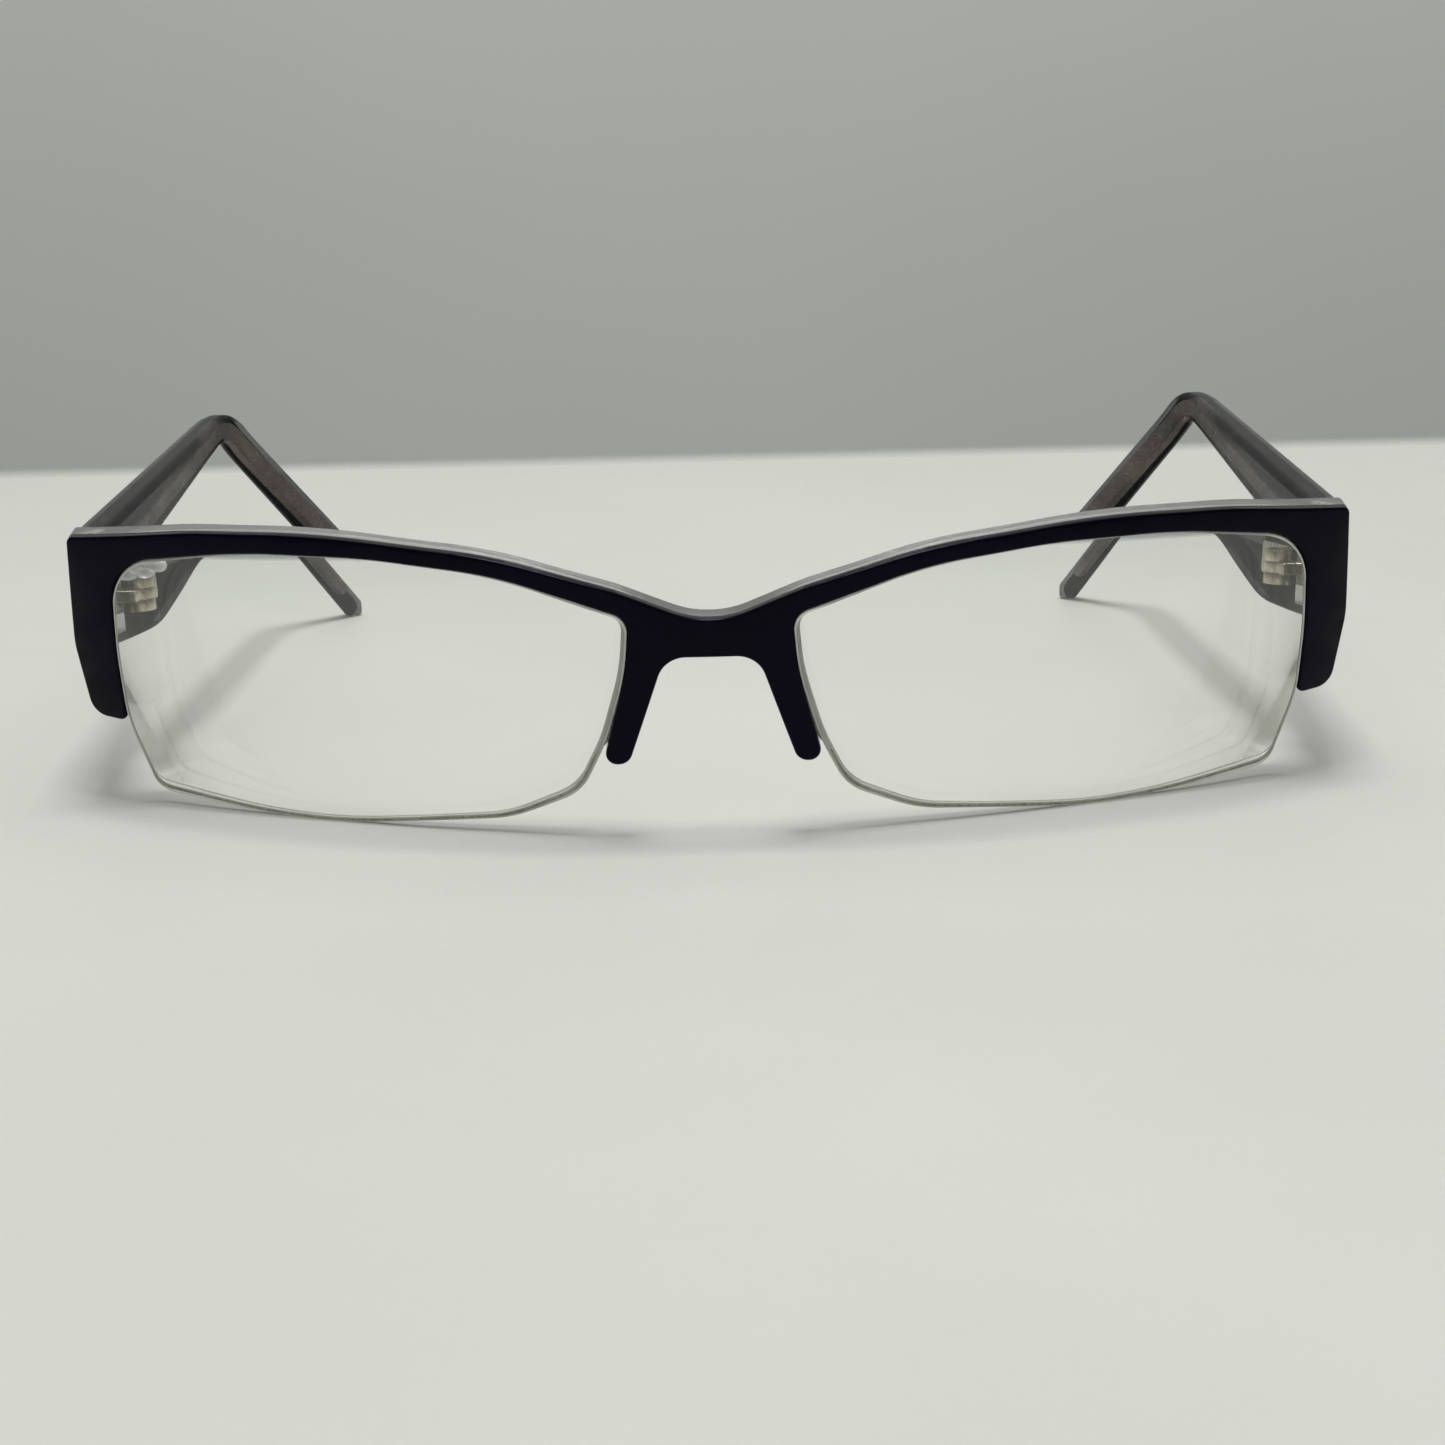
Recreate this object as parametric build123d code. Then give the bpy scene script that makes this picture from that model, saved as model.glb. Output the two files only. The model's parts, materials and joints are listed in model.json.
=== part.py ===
from build123d import *
import os
from math import sqrt

# Half-rim spectacles in laminated acetate, in millimetres. They stand open on a flat surface, on the
# lower edges of both lenses and on both temple tips. X runs across the face, with the wearer's left at
# +X, +Y points back to the ears, and +Z is up. The origin lies on the surface, under the middle of the
# whole pair.

# ---- driving dimensions of the front and the lenses ----
base_radius = 125.0          # outside of the front is part of one sphere
base_height = 15.0           # height of that sphere's centre, in the front's own plane
front_tilt = 6.9             # the top of the front leans forward, in degrees
front_setback = -65.17       # y of the front's reference point, which centres the whole pair on the origin
front_lift = 0.44            # brings the lowest point of both lenses onto the surface
face_ply = 1.0               # dark outer sheet of the front
back_ply = 2.3               # clear inner sheet of the front
edge_round = 0.3             # rounded edges of the front, before and behind
lens_centre = (35.5, 14.0)   # optical centre of the left lens, x and height
lens_recess = 1.5            # lens front behind the front's own face, at the optical centre
lens_thickness = 1.5         # at the optical centre
lens_front_radius = 250.0
lens_back_radius = 79.8      # with the front radius, about -5 dioptres in a plastic of index 1.586
fit_gap = 0.05               # between a lens and its rim
cord_size = 0.6              # nylon cord and rim liner
groove_depth = 1.5           # near side of the lens groove, behind the front's face
cord_sink = 0.55             # depth of the cord in the lens edge
cord_top = 9.0               # the cord gives way to the rim liner at this height
cord_holes = [(63.2, 8.2), (10.6, 8.7)]
cord_tail_length = 1.8       # tucked sideways into each hole
liner_in_rim = 0.6
liner_in_lens = 0.4

# ---- driving dimensions of the ends, the hinges and the temples ----
endpiece_back = 23.4         # flat face that the temple butts against, behind the reference point
endpiece_inside = 63.9
endpiece_bottom = 15.2
endpiece_top = 29.4
temple_front = endpiece_back + 0.15
temple_top = 29.3
temple_bottom = 16.8
temple_round = 0.9           # rounded long edges of each temple
hinge_height = 22.6          # middle of the three knuckles
pin_x = 63.2
pin_y = 25.1
knuckle = 1.3                # height of each knuckle
knuckle_gap = 0.05
barrel_radius = 1.4
bore_radius = 0.70
screw_radius = 0.65
head_radius = 1.0
head_height = 0.5
head_gap = 0.03              # round the screw head in its seat
slot_width = 0.3
slot_depth = 0.25
leaf_thickness = 0.8
leaf_round = 0.6
front_leaf_x = (64.1, 67.4)
front_foot_x = (65.0, 66.8)
front_foot_depth = 2.4
front_foot_half = 1.3        # half height of the foot
front_arm_x = (62.4, 64.4)
front_arm_depth = 0.6
temple_leaf_y = (24.9, 32.8)
temple_arm_y = (24.3, 26.4)
temple_inside = 64.8         # inner face of the temple at the hinge
temple_arm_overlap = 0.1

# Outlines are corners joined by straight runs, each corner rounded by its own radius: x, height, radius.
# The half outline of the front runs from the middle of the brow, round the end, along the rim to the
# foot of the nose leg and up to the bridge.
brow = [(2.0, 23.4, 10), (9.5, 26.3, 25), (22.0, 29.6, 50), (40.0, 30.8, 80), (54.0, 29.5, 60)]
end_drop = [(68.1, 26.8, 0.8), (68.3, 15.0, 8), (66.9, 7.1, 2.0), (62.75, 7.1, 0.9)]
rim_line = [(63.15, 15.0, 40), (62.9, 25.1, 6), (48.0, 28.1, 60), (35.0, 28.7, 60), (22.0, 27.7, 40),
            (8.3, 23.5, 2), (8.8, 17.5, 25)]
nose_leg = [(11.3, 7.7, 1.15), (8.65, 7.7, 1.5), (4.7, 19.4, 3.0)]
lens_edge = [(11.0, 9.9, 20), (13.6, 4.4, 6), (21.0, 0.9, 15), (39.5, -1.55, 60), (47.5, -1.5, 80),
             (59.9, -0.35, 2.5), (62.7, 7.4, 15)]

# The temple's side view: distance behind the reference point, height, radius.
temple_side = [(temple_front, temple_top, 0.5), (106.7, 28.5, 9), (133.58, 1.83, 1.75),
               (131.04, -0.725, 1.75), (105.0, 25.1, 5), (52.0, 22.8, 40), (33.0, temple_bottom, 15),
               (temple_front, temple_bottom, 0.5)]
# The core wire's side view lies inside it.
wire_side = [(33.5, 25.8, 0), (105.6, 27.6, 8), (127.4, 6.65, 0.9), (125.9, 5.25, 0.9),
             (104.4, 25.8, 7), (33.5, 23.8, 0)]
# The temple in plan: x and distance at the hinge end, at the bend and at the tip, then the bend's radius.
outer_line = [(68.5, temple_front, 0), (68.2, 104.2, 29), (53.6, 133.6, 0.9)]
ply_line = [(67.2, temple_front, 0), (67.0, 104.4, 28), (52.3, 133.0, 0)]
inner_line = [(temple_inside, temple_front, 0), (65.0, 104.8, 26), (50.3, 132.2, 1.4)]
wire_outer = [(66.55, 33.5, 0), (66.5, 104.5, 27.5), (52.6, 131.0, 0)]
wire_inner = [(65.55, 33.5, 0), (65.5, 104.7, 26.5), (51.6, 130.5, 0)]

# A drop of clear glue on the wearer's right, over the hinge and against the rim, is a few merged balls:
# x, distance behind the reference point, height, radius.
glue_balls = [(-63.3, 22.5, 26.1, 1.1), (-62.0, 22.7, 26.4, 1.2), (-60.7, 22.8, 26.4, 1.1),
              (-61.3, 22.7, 25.7, 1.0), (-62.8, 22.6, 25.5, 1.0), (-59.9, 22.7, 26.2, 0.8)]

reach = 60.0                 # half length of the cutting prisms, past every surface
half_space = ((0, 90), (-reach, reach), (-reach, reach))
groove_outer = base_radius - groove_depth
groove_inner = groove_outer - cord_size
wall_facing = 0.6            # a temple wall's normal has at least this much of X
same_place = 1e-4
on_surface = 0.01


def rounded_face(corners, plane):
    """A flat face inside corners given as two coordinates and a radius."""
    points = [(a, b) for a, b, _ in corners]
    radii = [r for _, _, r in corners]
    return plane * make_face(FilletPolyline(*points, radius=radii, close=True))


def mirrored(corners):
    """The same corners on the other half, walked back."""
    return [(-x, z, r) for x, z, r in reversed(corners)]


def front_prism(face):
    """Extrudes a face in the front's own plane, both ways."""
    return extrude(face, amount=reach, both=True)


def ball(radius):
    """Inside of a sphere round the front's centre of curvature."""
    return Pos(0, base_radius, base_height) * Sphere(radius)


def round_rim(shape, radius):
    """Rounds the edges of a sheet that lie on a sphere of this radius."""
    middle = Vector(0, base_radius, base_height)
    on_sphere = shape.edges().filter_by(
        lambda e: all(abs((e @ t - middle).length - radius) < on_surface for t in (0.05, 0.5, 0.95)))
    return fillet(on_sphere, edge_round)


def front_face_point(x, height, depth):
    """Distance back of a point that lies depth behind the front's face."""
    radius = base_radius - depth
    return base_radius - sqrt(radius ** 2 - x ** 2 - (height - base_height) ** 2)


def block(x_range, y_range, z_range):
    """A box between two limits on each axis."""
    size = [b - a for a, b in (x_range, y_range, z_range)]
    middle = [(a + b) / 2 for a, b in (x_range, y_range, z_range)]
    return Pos(*middle) * Box(*size)


def mirror_x(shape):
    """The wearer's right-hand copy of a left-hand piece."""
    return mirror(shape, about=Plane.YZ)


# The front is drawn in its own plane and then leans forward.
lean = Pos(0, 0, front_lift) * Rot(front_tilt, 0, 0)
centre = Pos(0, front_setback, 0)


def lens_outline():
    return rounded_face(rim_line + lens_edge, Plane.XZ)


def front_outline():
    half = brow + end_drop + rim_line + nose_leg
    return rounded_face(half + mirrored(half), Plane.XZ)


def lens_ball(behind, radius):
    """Sphere square to the optical axis, its near point this far behind the lens's front."""
    x, height = lens_centre
    vertex = Vector(x, front_face_point(x, height, lens_recess), height)
    inward = (Vector(0, base_radius, base_height) - vertex).normalized()
    return Pos(vertex + inward * (behind + radius)) * Sphere(radius)


def groove_ring(outward, inward, low, high):
    """A band along the lens outline at the depth of the groove, between two heights."""
    outline = lens_outline()
    rim_side = offset(outline, amount=outward) if outward > 0 else outline
    ring = front_prism(rim_side) - front_prism(offset(outline, amount=-inward))
    ring = (ring & ball(groove_outer)) - ball(groove_inner)
    return ring & block(half_space[0], half_space[1], (low, high))


def cord_tail(x, height):
    """The end of the cord, tucked sideways into a hole in the rim."""
    y = front_face_point(x, height, groove_depth + cord_size / 2)
    return Pos(x, y, height) * Rot(0, 90, 0) * Cylinder(cord_size / 2, cord_tail_length)


def make_cord():
    cord = groove_ring(0, cord_sink, -reach, cord_top)
    for x, height in cord_holes:
        cord += cord_tail(x, height)
    return cord


def make_lens(cord, liner):
    shape = front_prism(lens_outline()) & lens_ball(0, lens_front_radius)
    return shape - lens_ball(lens_thickness, lens_back_radius) - cord - liner


def make_endpiece():
    """Solid end behind the dark sheet, cut level on top and upright behind, for the temple."""
    outline = front_prism(front_outline()) & ball(base_radius - face_ply)
    end = outline & block((endpiece_inside, half_space[0][1]), half_space[1], (endpiece_bottom, reach))
    return (lean * end) & block(half_space[0], (-reach, endpiece_back), (0, endpiece_top))


front_sheet = front_prism(front_outline())
cord = make_cord()
liner = groove_ring(liner_in_rim, liner_in_lens, cord_top, reach)
lens = make_lens(cord, liner)
lens_space = front_prism(offset(lens_outline(), amount=fit_gap))
lens_spaces = lens_space + mirror_x(lens_space)

front_face = (front_sheet & ball(base_radius)) - ball(base_radius - face_ply) - lens_spaces
front_back = (front_sheet & ball(base_radius - face_ply)) - ball(base_radius - face_ply - back_ply)
front_back = front_back - lens_spaces - liner - mirror_x(liner) - cord - mirror_x(cord)
endpiece = make_endpiece() - lean * lens_space

front_face = round_rim(front_face, base_radius)
front_back = round_rim(front_back, base_radius - face_ply - back_ply)


# ---- hinge: three knuckles on one screw, drawn about its own middle height ----
middle = knuckle / 2
outer_low = middle + knuckle_gap
outer_high = outer_low + knuckle


def knuckle_barrel(low, high):
    return Pos(pin_x, pin_y, (low + high) / 2) * Cylinder(barrel_radius, high - low)


def make_front_leaf():
    """Flush plate in the endpiece with a foot sunk into it, an arm, and the middle knuckle."""
    plate = block(front_leaf_x, (endpiece_back - leaf_thickness, endpiece_back), (-outer_high, outer_high))
    plate = fillet(plate.edges().filter_by(Axis.Y), leaf_round)
    foot_y = (endpiece_back - front_foot_depth, endpiece_back - leaf_thickness)
    foot = block(front_foot_x, foot_y, (-front_foot_half, front_foot_half))
    arm = block(front_arm_x, (endpiece_back - front_arm_depth, pin_y), (-middle, middle))
    leaf = plate + foot + arm + knuckle_barrel(-middle, middle)
    return Pos(0, 0, hinge_height) * (leaf - bore)


def make_temple_leaf():
    """Plate flush with the temple's inner face, with the top and bottom knuckles."""
    plate_x = (temple_inside, temple_inside + leaf_thickness)
    plate = block(plate_x, temple_leaf_y, (-outer_high, outer_high))
    plate = fillet(plate.edges().filter_by(Axis.X), leaf_round)
    arms = block((pin_x, temple_inside + temple_arm_overlap), temple_arm_y, (-outer_high, outer_high))
    arms -= block((0, temple_inside), half_space[1], (-outer_low, outer_low))
    barrels = knuckle_barrel(outer_low, outer_high) + knuckle_barrel(-outer_high, -outer_low)
    head_seat = Pos(pin_x, pin_y, outer_high) * Cylinder(head_radius, 2 * head_height)
    return Pos(0, 0, hinge_height) * (plate + arms + barrels - bore - head_seat)


def make_screw():
    """Slotted hinge screw, its head sunk in the top knuckle."""
    shank = Pos(0, 0, -head_height / 2) * Cylinder(screw_radius, 2 * outer_high - head_height)
    head_low = outer_high - head_height
    head = Pos(0, 0, (head_low + outer_high - head_gap) / 2)
    head = head * Cylinder(head_radius - head_gap, head_height - head_gap)
    slot = Pos(0, 0, outer_high) * Box(2 * head_radius, slot_width, 2 * slot_depth)
    return Pos(pin_x, pin_y, hinge_height) * (shank + head - slot)


bore = Pos(pin_x, pin_y, 0) * Cylinder(bore_radius, 4 * outer_high)


# ---- temple: two sheets and a core wire ----
def upright_wall(first, second):
    """Everything between two lines of the plan view."""
    plan = rounded_face(first + list(reversed(second)), Plane.XY)
    return extrude(plan, amount=reach, both=True)


def side_prism(corners):
    """Everything on the wearer's left inside an outline of the side view."""
    return extrude(rounded_face(corners, Plane.YZ), amount=half_space[0][1])


def round_wall(shape, side):
    """Rounds the edge of the wall that faces outward (side 1) or inward (side -1)."""
    walls = [f for f in shape.faces() if side * f.normal_at(f.center()).X > wall_facing]
    edges = [e for f in walls for e in f.edges()]
    rim = [e for e in edges if sum((other @ 0.5 - e @ 0.5).length < same_place for other in edges) == 1]
    return fillet(rim, temple_round)


temple_slab = side_prism(temple_side)
front_leaf = make_front_leaf()
temple_leaf = make_temple_leaf()
screw = make_screw()
core_wire = upright_wall(wire_outer, wire_inner) & side_prism(wire_side)
temple_outer = round_wall(upright_wall(outer_line, ply_line) & temple_slab, 1)
temple_inner = round_wall(upright_wall(ply_line, inner_line) & temple_slab, -1)
temple_inner = temple_inner - core_wire - temple_leaf

# ---- the front, leaning ----
back_sheet = lean * front_back
endpiece -= front_leaf
back_sheet = back_sheet + endpiece + mirror_x(endpiece)
bead = None
for x, y, z, radius in glue_balls:
    ball_of_glue = Pos(x, y, z) * Sphere(radius)
    bead = ball_of_glue if bead is None else bead + ball_of_glue
bead = bead - lean * mirror_x(lens) - back_sheet

pieces = {
    "front_face_ply": lean * front_face,
    "front_back_ply": back_sheet,
    "right_hinge_glue_bead": bead,
}
paired = {
    "lens": lean * lens,
    "retaining_cord": lean * cord,
    "rim_liner": lean * liner,
    "front_hinge_leaf": front_leaf,
    "temple_outer_ply": temple_outer,
    "temple_inner_ply": temple_inner,
    "temple_core_wire": core_wire,
    "temple_hinge_leaf": temple_leaf,
    "hinge_screw": screw,
}
for name, shape in paired.items():
    pieces["left_" + name] = shape
    pieces["right_" + name] = mirror_x(shape)

os.makedirs("parts", exist_ok=True)
whole = Compound(children=[centre * shape for shape in pieces.values()])
for name, shape in pieces.items():
    export_step(centre * shape, "parts/" + name + ".step")
box = whole.bounding_box()
print("lowest corner", box.min, "highest corner", box.max)
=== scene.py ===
import json
from math import cos, pi, radians, sin, sqrt, tan

import bmesh
import bpy
from mathutils import Matrix, Vector
from mathutils.kdtree import KDTree


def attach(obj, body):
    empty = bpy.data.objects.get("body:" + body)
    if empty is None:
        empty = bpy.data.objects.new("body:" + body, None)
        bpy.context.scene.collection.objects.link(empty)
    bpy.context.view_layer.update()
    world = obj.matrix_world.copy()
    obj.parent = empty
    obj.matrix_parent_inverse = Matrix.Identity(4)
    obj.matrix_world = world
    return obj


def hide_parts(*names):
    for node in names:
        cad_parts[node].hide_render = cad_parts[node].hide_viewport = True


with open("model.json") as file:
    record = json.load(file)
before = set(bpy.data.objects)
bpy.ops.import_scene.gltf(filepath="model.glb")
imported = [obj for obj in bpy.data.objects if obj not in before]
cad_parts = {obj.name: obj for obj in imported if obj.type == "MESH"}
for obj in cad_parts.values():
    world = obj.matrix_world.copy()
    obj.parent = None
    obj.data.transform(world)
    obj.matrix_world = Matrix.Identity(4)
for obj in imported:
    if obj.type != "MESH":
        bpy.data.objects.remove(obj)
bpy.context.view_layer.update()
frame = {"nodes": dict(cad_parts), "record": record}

# Half-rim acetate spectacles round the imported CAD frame. Metres, +X to the wearer's left, +Y back to the
# ears, +Z up. The front is drawn in its own leaning plane in millimetres, as the CAD draws it, and
# place() turns a point of that plane into a point of the scene.

MM = 0.001

# ---- dimensions shared with the CAD, in millimetres ----
BASE_RADIUS = 125.0
BASE_HEIGHT = 15.0
FRONT_TILT = radians(6.9)
FRONT_SETBACK = -65.17
FRONT_LIFT = 0.44
FACE_PLY = 1.0
LENS_CENTRE = (35.5, 14.0)
LENS_RECESS = 1.5
LENS_THICKNESS = 1.5
LENS_FRONT_RADIUS = 250.0
LENS_BACK_RADIUS = 79.8
GROOVE_MIDDLE = 1.8
CORD_TOP = 9.0

RIM_LINE = [(63.15, 15.0, 40), (62.9, 25.1, 6), (48.0, 28.1, 60), (35.0, 28.7, 60), (22.0, 27.7, 40),
            (8.3, 23.5, 2), (8.8, 17.5, 25)]
LENS_EDGE = [(11.0, 9.9, 20), (13.6, 4.4, 6), (21.0, 0.9, 15), (39.5, -1.55, 60), (47.5, -1.5, 80),
             (59.9, -0.35, 2.5), (62.7, 7.4, 15)]
SIDES = {"left": 1, "right": -1}

# ---- lens and cords, in millimetres ----
LENS_STEP = 0.45
LENS_BEVEL = 0.18
LENS_RINGS = 26
RING_CROWDING = 0.85         # below 1 the rings draw together towards the edge
GROOVE_DEPTH = 0.42
GROOVE_HALF_WIDTH = 0.3
GROOVE_FLOOR = 0.5           # the floor's width as a share of the groove's
GROOVE_STEP = 0.4
LENS_LOW, LENS_HIGH = -5.0, 40.0
CORD_INSET, CORD_RADIUS = 0.12, 0.27
LINER_INSET, LINER_RADIUS = -0.1, 0.26
TUBE_SIDES = 14
TUBE_END = (0.55, 0.9, 1.0)  # how the radius grows from an end
POLISHED, GROUND = 0, 1      # the lens's material slots

# ---- finishing of the CAD's meshes, in metres ----
GLUE_OVERLAP = 0.03 * MM
LEAF_SWELLING = 0.01 * MM
LEAF_BEVEL = 0.12 * MM
LEAF_PROFILE = 0.6
BEVEL_STEPS = 2
ON_SURFACE = 0.01 * MM
NEAR_WIRE = 0.12 * MM
SAME_POINT = 1e-7
FACING_OUT = 0.6
FLAT = radians(0.5)
SHARP = radians(40)
NEW_CREASE = radians(28)
METAL_CREASE = radians(32)
SHEET_CREASE = radians(35)

# ---- surroundings, in metres ----
TABLE_HALF = 1.2
TABLE_EDGE = 0.162           # the table top ends here, behind the spectacles
TABLE_FADE = 0.010
WALL_HALF = 1.6
WALL_LOW, WALL_HIGH = -0.6, 1.4
WALL_BACK = 0.62
ROOM_COLOUR = (0.30, 0.32, 0.30, 1)
ROOM_STRENGTH = 0.55
WARM = (1.0, 0.995, 0.97)
COOL = (0.97, 1.0, 0.98)
LAMPS = [
    dict(name="key", position=(0.0, -0.11, 0.80), target=(0, -0.05, 0), size=(0.23, 0.32),
         power=4.9, colour=WARM),
    dict(name="ceiling", position=(0.05, 0.20, 0.80), target=(0, 0, 0), size=(0.9, 0.5),
         power=1.8, colour=WARM),
    dict(name="front fill", position=(0.0, -0.9, 0.6), target=(0, 0, 0.02), size=(0.8, 0.5),
         power=0.6, colour=COOL),
]
CAMERA_PLACE = (0.0004, -0.34967, 0.09044)
CAMERA_YAW, CAMERA_PITCH, CAMERA_ROLL = radians(0.12), radians(15.35), radians(-1.33)
CAMERA_LENS = 72.2
SENSOR_WIDTH = 36
CLIP_START = 0.01

# ---- finishes ----
# tones: two colours mixed by a noise of tone_scale. rough: range of roughness, which follows a noise of
# grain_scale. relief: height of that grain. shadow_light: share of light let through for shadows, as by
# clear plastic. sockets: values that are the same all over.
FINISHES = {
    "dark_acetate": dict(
        label="dark acetate", tones=((0.0003, 0.0002, 0.0010), (0.0009, 0.0005, 0.0034)), rough=(0.10, 0.24),
        tone_scale=60, grain_scale=900, relief=0.01 * MM,
        sockets=dict(IOR=1.48, Specular_IOR_Level=0.13, Specular_Tint=(0.62, 0.58, 1.0, 1.0))),
    "crystal_acetate": dict(
        label="crystal acetate", tones=((0.64, 0.64, 0.65), (0.78, 0.78, 0.77)), rough=(0.06, 0.16),
        tone_scale=120, grain_scale=1200, relief=0.01 * MM, shadow_light=0.6,
        sockets=dict(IOR=1.48, Transmission_Weight=0.88, Specular_IOR_Level=0.3)),
    "smoke_acetate": dict(
        label="smoke acetate", tones=((0.125, 0.128, 0.140), (0.20, 0.195, 0.205)), rough=(0.12, 0.22),
        tone_scale=80, grain_scale=900, relief=0.004 * MM,
        sockets=dict(IOR=1.07, Transmission_Weight=0.93, Specular_IOR_Level=0.12)),
    "lens": dict(
        label="lens", tones=((0.985, 0.99, 0.985), (0.97, 0.985, 0.97)), rough=(0.0, 0.02),
        tone_scale=30, grain_scale=90, relief=0.0005 * MM, shadow_light=0.93,
        sockets=dict(IOR=1.586, Transmission_Weight=1.0)),
    "lens_edge": dict(
        label="lens ground edge", tones=((0.66, 0.665, 0.62), (0.53, 0.53, 0.47)), rough=(0.28, 0.45),
        tone_scale=300, grain_scale=2500, relief=0.02 * MM, shadow_light=0.6,
        sockets=dict(IOR=1.586, Transmission_Weight=0.3)),
    "nylon": dict(
        label="nylon", tones=((0.55, 0.58, 0.48), (0.36, 0.34, 0.23)), rough=(0.2, 0.4),
        tone_scale=150, grain_scale=1500, relief=0.02 * MM,
        sockets=dict(IOR=1.53, Transmission_Weight=0.4)),
    "hinge_metal": dict(
        label="nickel silver", tones=((0.62, 0.56, 0.46), (0.42, 0.37, 0.29)), rough=(0.22, 0.42),
        tone_scale=500, grain_scale=2500, relief=0.04 * MM, stretch=(1, 1, 0.2), sockets=dict(Metallic=1.0)),
    "screw_metal": dict(
        label="plated screw", tones=((0.66, 0.64, 0.60), (0.45, 0.43, 0.40)), rough=(0.2, 0.4),
        tone_scale=600, grain_scale=3000, relief=0.03 * MM, sockets=dict(Metallic=1.0)),
    "core_metal": dict(
        label="core wire", tones=((0.95, 0.82, 0.72), (0.80, 0.68, 0.60)), rough=(0.25, 0.4),
        tone_scale=300, grain_scale=2500, relief=0.03 * MM, stretch=(1, 0.1, 1), sockets=dict(Metallic=1.0)),
    "clear_glue": dict(
        label="clear glue", tones=((0.96, 0.97, 0.96), (0.84, 0.85, 0.84)), rough=(0.05, 0.30),
        tone_scale=700, grain_scale=1500, relief=0.6 * MM, shadow_light=0.7,
        sockets=dict(IOR=1.45, Transmission_Weight=0.55)),
    "wall": dict(
        label="wall paint", tones=((0.735, 0.755, 0.725), (0.775, 0.79, 0.765)), rough=(0.6, 0.7),
        tone_scale=3, grain_scale=200, relief=0.03 * MM),
    "floor": dict(
        label="table top", tones=((0.59, 0.592, 0.566), (0.615, 0.615, 0.588)), rough=(0.45, 0.6),
        tone_scale=14, grain_scale=1500, relief=0.03 * MM),
}
TONE_DETAIL = 4.0
GRAIN_DETAIL = 6.0
NOISE_LOW, NOISE_HIGH = 0.35, 0.65
BUMP_STRENGTH = 0.25


# ================= outline and placing =================
def rounded_outline(corners, step):
    """Points along straight runs joined by arcs at rounded corners, about one step apart."""
    count = len(corners)
    arcs = []
    for i, (x, z, radius) in enumerate(corners):
        here = Vector((x, z))
        back = (Vector(corners[i - 1][:2]) - here).normalized()
        on = (Vector(corners[(i + 1) % count][:2]) - here).normalized()
        turn = pi - back.angle(on)
        trim = radius * tan(turn / 2)
        side = 1 if back.x * on.y - back.y * on.x < 0 else -1
        start = here + back * trim
        centre = start + Vector((-back.y, back.x)) * -radius * side
        arcs.append((start, here + on * trim, centre, turn * side, radius))
    points = []
    for i, (start, end, centre, turn, radius) in enumerate(arcs):
        pieces = max(2, int(abs(turn) * radius / step))
        spoke = start - centre
        points += [centre + Matrix.Rotation(turn * k / pieces, 2) @ spoke for k in range(pieces)]
        run = arcs[(i + 1) % count][0] - end
        pieces = max(1, int(run.length / step))
        points += [end + run * (k / pieces) for k in range(pieces)]
    return points


def inward_normals(points):
    """Unit normals of a closed outline, towards its inside."""
    centre = sum(points, Vector((0, 0))) / len(points)
    normals = []
    for i, point in enumerate(points):
        along = points[(i + 1) % len(points)] - points[i - 1]
        normal = Vector((-along.y, along.x)).normalized()
        normals.append(normal if normal.dot(centre - point) > 0 else -normal)
    return normals


def on_front_sphere(x, z, depth):
    """Distance back, in the front's plane, of a point that lies depth behind the front's face."""
    radius = BASE_RADIUS - depth
    return BASE_RADIUS - sqrt(radius ** 2 - x ** 2 - (z - BASE_HEIGHT) ** 2)


def lens_surface(behind, radius):
    """Depth function of a lens surface, a sphere square to the optical axis."""
    x, z = LENS_CENTRE
    vertex = Vector((x, on_front_sphere(x, z, LENS_RECESS), z))
    inward = (Vector((0, BASE_RADIUS, BASE_HEIGHT)) - vertex).normalized()
    centre = vertex + inward * (behind + radius)
    return lambda x, z: centre.y - sqrt(radius ** 2 - (x - centre.x) ** 2 - (z - centre.z) ** 2)


def place(x, y, z, side=1):
    """A point of the leaning front, in millimetres, as a point of the scene in metres."""
    back = y * cos(FRONT_TILT) - z * sin(FRONT_TILT) + FRONT_SETBACK
    up = y * sin(FRONT_TILT) + z * cos(FRONT_TILT) + FRONT_LIFT
    return Vector((side * x, back, up)) * MM


# ================= materials =================
def add_node(tree, kind, **settings):
    """A new node. A setting is an attribute of the node or, with _ for a space, one of its inputs."""
    node = tree.nodes.new(kind)
    for key, value in settings.items():
        if hasattr(node, key):
            setattr(node, key, value)
        else:
            node.inputs[key.replace("_", " ")].default_value = value
    return node


def object_noise(tree, scale, detail, stretch=(1, 1, 1)):
    """Noise in the object's own metres. It is drawn out along an axis where stretch is below 1."""
    coordinates = add_node(tree, "ShaderNodeTexCoord")
    mapping = add_node(tree, "ShaderNodeMapping", Scale=stretch)
    noise = add_node(tree, "ShaderNodeTexNoise", Scale=scale, Detail=detail)
    tree.links.new(coordinates.outputs["Object"], mapping.inputs["Vector"])
    tree.links.new(mapping.outputs["Vector"], noise.inputs["Vector"])
    return noise.outputs["Fac"]


def spread(tree, source, low, high):
    """Maps a noise value onto a range."""
    node = add_node(tree, "ShaderNodeMapRange", From_Min=NOISE_LOW, From_Max=NOISE_HIGH,
                    To_Min=low, To_Max=high)
    tree.links.new(source, node.inputs["Value"])
    return node.outputs["Result"]


def colour_mix(tree, factor, first, second):
    """A colour between two, by a factor."""
    node = add_node(tree, "ShaderNodeMix", data_type="RGBA")
    tree.links.new(factor, node.inputs["Factor"])
    colours = [socket for socket in node.inputs if socket.type == "RGBA"]
    colours[0].default_value = (*first, 1)
    colours[1].default_value = (*second, 1)
    return next(socket for socket in node.outputs if socket.type == "RGBA")


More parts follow.
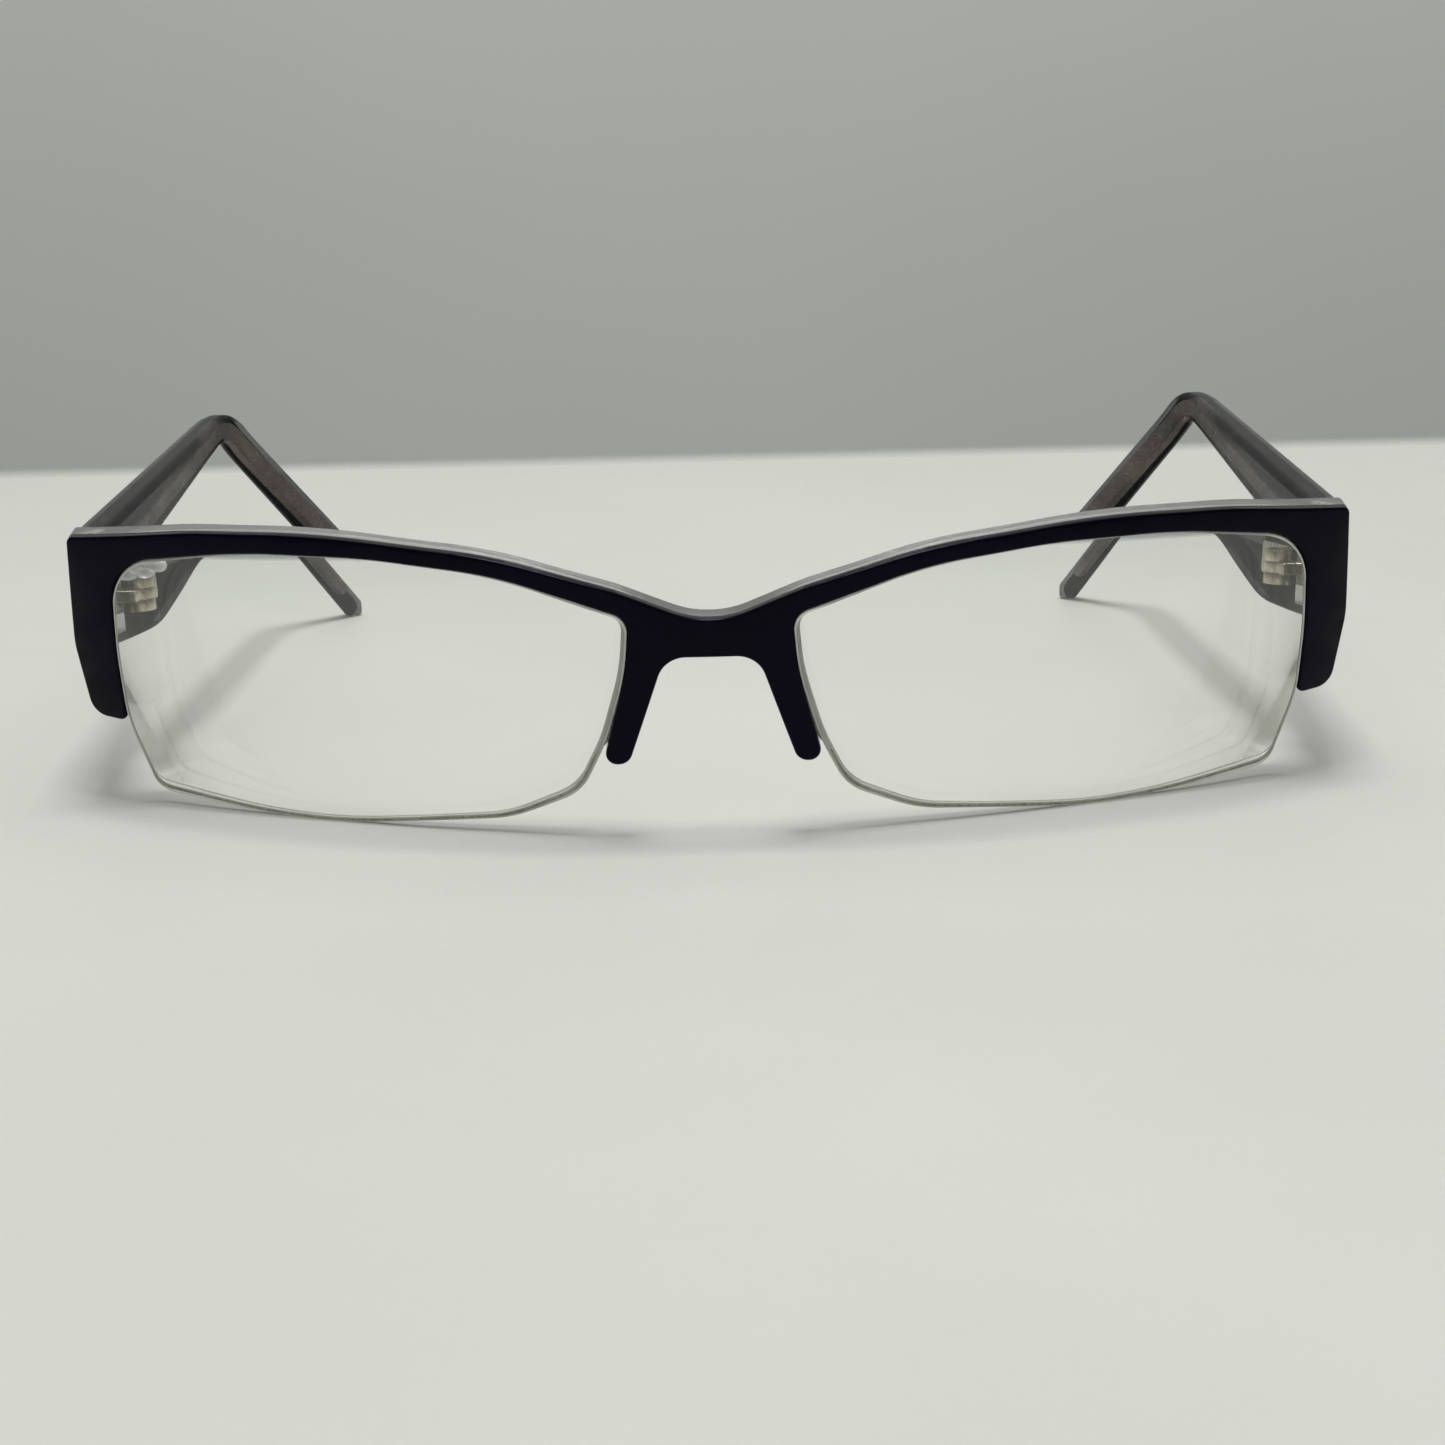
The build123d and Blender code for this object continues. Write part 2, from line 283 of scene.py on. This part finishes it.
def let_light_pass(material, share):
    """Clear to shadow rays and diffuse rays, so that light falls through the piece."""
    tree = material.node_tree
    path = add_node(tree, "ShaderNodeLightPath")
    clear = add_node(tree, "ShaderNodeBsdfTransparent", Color=(share, share, share, 1))
    either = add_node(tree, "ShaderNodeMath", operation="MAXIMUM")
    mix = add_node(tree, "ShaderNodeMixShader")
    tree.links.new(path.outputs["Is Shadow Ray"], either.inputs[0])
    tree.links.new(path.outputs["Is Diffuse Ray"], either.inputs[1])
    tree.links.new(either.outputs["Value"], mix.inputs["Fac"])
    tree.links.new(tree.nodes["Principled BSDF"].outputs["BSDF"], mix.inputs[1])
    tree.links.new(clear.outputs["BSDF"], mix.inputs[2])
    tree.links.new(mix.outputs["Shader"], tree.nodes["Material Output"].inputs["Surface"])


def make_material(label, tones, rough, tone_scale, grain_scale, relief, stretch=(1, 1, 1), shadow_light=None,
                  sockets=None):
    """A material whose colour, roughness and bump follow noises."""
    material = bpy.data.materials.new(label)
    material.use_nodes = True
    tree = material.node_tree
    shader = tree.nodes["Principled BSDF"]
    tint = spread(tree, object_noise(tree, tone_scale, TONE_DETAIL), 0, 1)
    tree.links.new(colour_mix(tree, tint, *tones), shader.inputs["Base Color"])
    grain = object_noise(tree, grain_scale, GRAIN_DETAIL, stretch)
    tree.links.new(spread(tree, grain, *rough), shader.inputs["Roughness"])
    bump = add_node(tree, "ShaderNodeBump", Strength=BUMP_STRENGTH, Distance=relief)
    tree.links.new(grain, bump.inputs["Height"])
    tree.links.new(bump.outputs["Normal"], shader.inputs["Normal"])
    for key, value in (sockets or {}).items():
        shader.inputs[key.replace("_", " ")].default_value = value
    if shadow_light:
        let_light_pass(material, shadow_light)
    return material


materials = {name: make_material(**finish) for name, finish in FINISHES.items()}
slot_of = {s["node"]: s["material_slot"] for s in frame["record"]["subparts"]}


# ================= pieces =================
def finish_piece(piece, body, node):
    """Shows a piece instead of a CAD node, riding on a body."""
    bpy.context.scene.collection.objects.link(piece)
    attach(piece, body)
    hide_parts(node)


def smooth(mesh, crease):
    """Smooth shading, except across edges that turn more than the crease angle."""
    mesh.shade_smooth()
    mesh.set_sharp_from_angle(angle=crease)


def mesh_object(name, points, faces, slots=None):
    """A new closed mesh with its faces turned outwards."""
    mesh = bpy.data.meshes.new(name)
    mesh.from_pydata(points, [], faces)
    if slots:
        mesh.polygons.foreach_set("material_index", slots)
    work = bmesh.new()
    work.from_mesh(mesh)
    bmesh.ops.recalc_face_normals(work, faces=work.faces)
    work.to_mesh(mesh)
    work.free()
    smooth(mesh, NEW_CREASE)
    return bpy.data.objects.new(name, mesh)


def band_faces(first, second, count):
    """Quads between two closed rings of points."""
    return [(first + i, first + (i + 1) % count, second + (i + 1) % count, second + i) for i in range(count)]


def lens_rings():
    """The lens from front to back, as rings, and the depths of its two middles.

    A ring is its points, its depth function and the material slot of the band that leads to it.
    """
    outline = rounded_outline(RIM_LINE + LENS_EDGE, LENS_STEP)
    normals = inward_normals(outline)
    middle = Vector(LENS_CENTRE)
    front = lens_surface(0, LENS_FRONT_RADIUS)
    back = lens_surface(LENS_THICKNESS, LENS_BACK_RADIUS)

    def inset(distance):
        return [p + n * distance for p, n in zip(outline, normals)]

    def shrunk(k):
        scale = (k / LENS_RINGS) ** RING_CROWDING
        return [middle + (p - middle) * scale for p in inset(LENS_BEVEL)]

    def behind(offset):
        return lambda x, z: on_front_sphere(x, z, GROOVE_MIDDLE + offset)

    floor = GROOVE_HALF_WIDTH * GROOVE_FLOOR
    rings = [(shrunk(k), front, POLISHED) for k in range(1, LENS_RINGS + 1)]
    rings.append((outline, lambda x, z: front(x, z) + LENS_BEVEL, GROUND))
    rings.append((outline, behind(-GROOVE_HALF_WIDTH), GROUND))
    rings.append((inset(GROOVE_DEPTH), behind(-floor), GROUND))
    rings.append((inset(GROOVE_DEPTH), behind(floor), GROUND))
    rings.append((outline, behind(GROOVE_HALF_WIDTH), GROUND))
    rings.append((outline, lambda x, z: back(x, z) - LENS_BEVEL, GROUND))
    rings += [(shrunk(k), back, GROUND if k == LENS_RINGS else POLISHED) for k in range(LENS_RINGS, 0, -1)]
    return rings, front(*middle), back(*middle)


def make_lens(name, side, node):
    """Meniscus lens: two spheres, a ground edge with a safety bevel and a groove for the cord."""
    rings, front_depth, back_depth = lens_rings()
    middle_x, middle_z = LENS_CENTRE
    count = len(rings[0][0])
    points = [place(middle_x, front_depth, middle_z, side)]
    faces = []
    slots = []
    for ring, depth, slot in rings:
        start = len(points)
        points += [place(p.x, depth(p.x, p.y), p.y, side) for p in ring]
        if start == 1:
            faces += [(0, start + (i + 1) % count, start + i) for i in range(count)]
        else:
            faces += band_faces(start - count, start, count)
        slots += [slot] * count
    last = len(points) - count
    points.append(place(middle_x, back_depth, middle_z, side))
    faces += [(len(points) - 1, last + i, last + (i + 1) % count) for i in range(count)]
    slots += [POLISHED] * count
    lens = mesh_object(name, points, faces, slots)
    lens.data.materials.append(materials["lens"])
    lens.data.materials.append(materials["lens_edge"])
    finish_piece(lens, "front", node)


def groove_route(inset, low, high, side):
    """The stretch of the lens groove whose height lies between two limits."""
    outline = rounded_outline(RIM_LINE + LENS_EDGE, GROOVE_STEP)
    normals = inward_normals(outline)
    kept = [low <= p.y <= high for p in outline]
    count = len(outline)
    first = next(i for i in range(count) if kept[i] and not kept[i - 1])
    route = []
    for k in range(count):
        i = (first + k) % count
        if not kept[i]:
            break
        p = outline[i] + normals[i] * inset
        route.append(place(p.x, on_front_sphere(p.x, p.y, GROOVE_MIDDLE), p.y, side))
    return route


def make_tube(name, route, radius, node):
    """A round cord along a list of points, with rounded ends."""
    points = []
    faces = []
    total = len(route)
    for i, here in enumerate(route):
        along = (route[min(i + 1, total - 1)] - route[max(i - 1, 0)]).normalized()
        across = along.cross(Vector((0, 1, 0))).normalized()
        up = across.cross(along)
        from_end = min(i, total - 1 - i)
        size = radius * MM * TUBE_END[min(from_end, len(TUBE_END) - 1)]
        for k in range(TUBE_SIDES):
            angle = 2 * pi * k / TUBE_SIDES
            points.append(here + (across * cos(angle) + up * sin(angle)) * size)
        if i:
            faces += band_faces((i - 1) * TUBE_SIDES, i * TUBE_SIDES, TUBE_SIDES)
    faces.append(tuple(range(TUBE_SIDES)))
    faces.append(tuple(range((total - 1) * TUBE_SIDES, total * TUBE_SIDES)))
    tube = mesh_object(name, points, faces)
    tube.data.materials.append(materials["nylon"])
    finish_piece(tube, "front", node)


def copied_node(name, node, slot):
    """A copy of a CAD node's mesh, which may be changed."""
    mesh = frame["nodes"][node].data.copy()
    mesh.name = name
    mesh.materials.clear()
    mesh.materials.append(materials[slot])
    return bpy.data.objects.new(name, mesh)


def sound_bmesh(mesh):
    """The mesh as a bmesh, its faces joined up and turned outwards."""
    work = bmesh.new()
    work.from_mesh(mesh)
    bmesh.ops.remove_doubles(work, verts=work.verts, dist=SAME_POINT)
    bmesh.ops.recalc_face_normals(work, faces=work.faces)
    return work


def sharp_edges(work):
    """Edges where two faces meet at a clear corner."""
    return [e for e in work.edges if len(e.link_faces) == 2 and e.calc_face_angle() > SHARP]


def move_matching(mesh, picked, shift):
    """Moves every vertex that stands where a picked one does."""
    def key(point):
        return tuple(round(c / SAME_POINT) for c in point)
    keys = {key(mesh.vertices[i].co): shift(mesh.vertices[i].co) for i in picked}
    for vertex in mesh.vertices:
        if key(vertex.co) in keys:
            vertex.co += keys[key(vertex.co)]


def make_back_ply():
    """The clear sheet, its glued face sunk a hair into the dark sheet, so that no air shows between."""
    ply = copied_node("crystal_back_sheet", "front_back_ply", "crystal_acetate")
    centre = place(0, BASE_RADIUS, BASE_HEIGHT)
    glued = (BASE_RADIUS - FACE_PLY) * MM
    picked = [v.index for v in ply.data.vertices if abs((v.co - centre).length - glued) < ON_SURFACE]
    move_matching(ply.data, picked, lambda co: (co - centre).normalized() * GLUE_OVERLAP)
    finish_piece(ply, "front", "front_back_ply")


def make_face_ply():
    """The dark sheet of the front, shaded smoothly over the rounded edges that it has from the CAD."""
    sheet = copied_node("dark_face_sheet", "front_face_ply", "dark_acetate")
    work = sound_bmesh(sheet.data)
    work.to_mesh(sheet.data)
    work.free()
    smooth(sheet.data, SHEET_CREASE)
    finish_piece(sheet, "front", "front_face_ply")


def vertex_tree(node):
    """A search tree of a CAD node's vertices."""
    mesh = frame["nodes"][node].data
    tree = KDTree(len(mesh.vertices))
    for vertex in mesh.vertices:
        tree.insert(vertex.co, vertex.index)
    tree.balance()
    return tree


def make_inner_ply(side_name, side):
    """The smoke sheet of a temple, sunk into the dark one in the same way, but not round its core wire."""
    node = side_name + "_temple_inner_ply"
    ply = copied_node(side_name + "_smoke_inner_sheet", node, "smoke_acetate")
    vertices = ply.data.vertices
    wire = vertex_tree(side_name + "_temple_core_wire")
    glued = set()
    for face in ply.data.polygons:
        if face.normal.x * side > FACING_OUT and face.area > 0:
            glued.update(face.vertices)
    picked = [i for i in glued if wire.find(vertices[i].co)[2] >= NEAR_WIRE]
    move_matching(ply.data, picked, lambda co: Vector((side * GLUE_OVERLAP, 0, 0)))
    finish_piece(ply, side_name + "_temple", node)


def make_metal(name, node, amount, slot, body, bevel=0.0):
    """A metal piece that sits in plastic, swollen by a hair so that it touches the plastic all over."""
    piece = copied_node(name, node, slot)
    work = sound_bmesh(piece.data)
    bmesh.ops.dissolve_limit(work, angle_limit=FLAT, verts=work.verts, edges=work.edges)
    if bevel:
        bmesh.ops.bevel(work, geom=sharp_edges(work), offset=bevel, segments=BEVEL_STEPS,
                        profile=LEAF_PROFILE, affect="EDGES", clamp_overlap=True)
    work.normal_update()
    moves = [(vertex, vertex.normal * amount) for vertex in work.verts]
    for vertex, move in moves:
        vertex.co += move
    work.to_mesh(piece.data)
    work.free()
    smooth(piece.data, METAL_CREASE)
    finish_piece(piece, body, node)


make_back_ply()
make_face_ply()
for side_name, side in SIDES.items():
    temple = side_name + "_temple"
    make_lens(side_name + "_meniscus_lens", side, side_name + "_lens")
    make_tube(side_name + "_nylon_cord", groove_route(CORD_INSET, LENS_LOW, CORD_TOP, side), CORD_RADIUS,
              side_name + "_retaining_cord")
    make_tube(side_name + "_nylon_liner", groove_route(LINER_INSET, CORD_TOP, LENS_HIGH, side), LINER_RADIUS,
              side_name + "_rim_liner")
    make_inner_ply(side_name, side)
    make_metal(side_name + "_core", temple + "_core_wire", GLUE_OVERLAP, "core_metal", temple)
    make_metal(temple + "_leaf", temple + "_hinge_leaf", LEAF_SWELLING, "hinge_metal", temple, LEAF_BEVEL)
    make_metal(side_name + "_front_leaf", side_name + "_front_hinge_leaf", LEAF_SWELLING, "hinge_metal",
               "front", LEAF_BEVEL)

for node, piece in frame["nodes"].items():
    piece.data.materials.clear()
    piece.data.materials.append(materials[slot_of[node]])


# ================= floor, light and camera =================
def make_panel(name, corners, slot):
    """A flat rectangle of the surroundings."""
    mesh = bpy.data.meshes.new(name)
    mesh.from_pydata(corners, [], [(0, 1, 2, 3)])
    mesh.materials.append(materials[slot])
    panel = bpy.data.objects.new(name, mesh)
    bpy.context.scene.collection.objects.link(panel)


def soften_table_edge():
    """Fades the far edge of the table out."""
    tree = materials["floor"].node_tree
    coordinates = add_node(tree, "ShaderNodeTexCoord")
    split = add_node(tree, "ShaderNodeSeparateXYZ")
    fade = add_node(tree, "ShaderNodeMapRange", From_Min=TABLE_EDGE - TABLE_FADE, From_Max=TABLE_EDGE,
                    To_Min=1.0, To_Max=0.0)
    tree.links.new(coordinates.outputs["Object"], split.inputs["Vector"])
    tree.links.new(split.outputs["Y"], fade.inputs["Value"])
    tree.links.new(fade.outputs["Result"], tree.nodes["Principled BSDF"].inputs["Alpha"])


def add_lamp(name, position, target, size, power, colour):
    """A rectangular area lamp turned to its target."""
    data = bpy.data.lights.new(name, "AREA")
    data.shape = "RECTANGLE"
    data.size, data.size_y = size
    data.energy = power
    data.color = colour
    lamp = bpy.data.objects.new(name, data)
    lamp.location = position
    lamp.rotation_euler = (Vector(target) - Vector(position)).to_track_quat("-Z", "Y").to_euler()
    bpy.context.scene.collection.objects.link(lamp)


def make_world():
    """Dim, even light from all round."""
    world = bpy.data.worlds.new("soft room")
    world.use_nodes = True
    background = world.node_tree.nodes["Background"]
    background.inputs["Color"].default_value = ROOM_COLOUR
    background.inputs["Strength"].default_value = ROOM_STRENGTH
    bpy.context.scene.world = world


def make_camera():
    """A telephoto view from the front, looking down a little, with a slight roll."""
    yaw, pitch, roll = CAMERA_YAW, CAMERA_PITCH, CAMERA_ROLL
    forward = Vector((sin(yaw) * cos(pitch), cos(yaw) * cos(pitch), -sin(pitch)))
    level = Vector((cos(yaw), -sin(yaw), 0))
    upright = level.cross(forward)
    right = level * cos(roll) + upright * sin(roll)
    up = upright * cos(roll) - level * sin(roll)
    data = bpy.data.cameras.new("camera")
    data.lens = CAMERA_LENS
    data.sensor_width = SENSOR_WIDTH
    data.clip_start = CLIP_START
    camera = bpy.data.objects.new("camera", data)
    axes = Matrix((right, up, -forward)).transposed()
    camera.matrix_world = Matrix.Translation(CAMERA_PLACE) @ axes.to_4x4()
    bpy.context.scene.collection.objects.link(camera)
    bpy.context.scene.camera = camera


make_panel("table_top", [(-TABLE_HALF, -TABLE_HALF, 0), (TABLE_HALF, -TABLE_HALF, 0),
                         (TABLE_HALF, TABLE_EDGE, 0), (-TABLE_HALF, TABLE_EDGE, 0)], "floor")
make_panel("wall", [(-WALL_HALF, WALL_BACK, WALL_LOW), (WALL_HALF, WALL_BACK, WALL_LOW),
                    (WALL_HALF, WALL_BACK, WALL_HIGH), (-WALL_HALF, WALL_BACK, WALL_HIGH)], "wall")
soften_table_edge()
make_world()
for lamp in LAMPS:
    add_lamp(**lamp)
make_camera()
bpy.context.scene.view_settings.view_transform = "Standard"
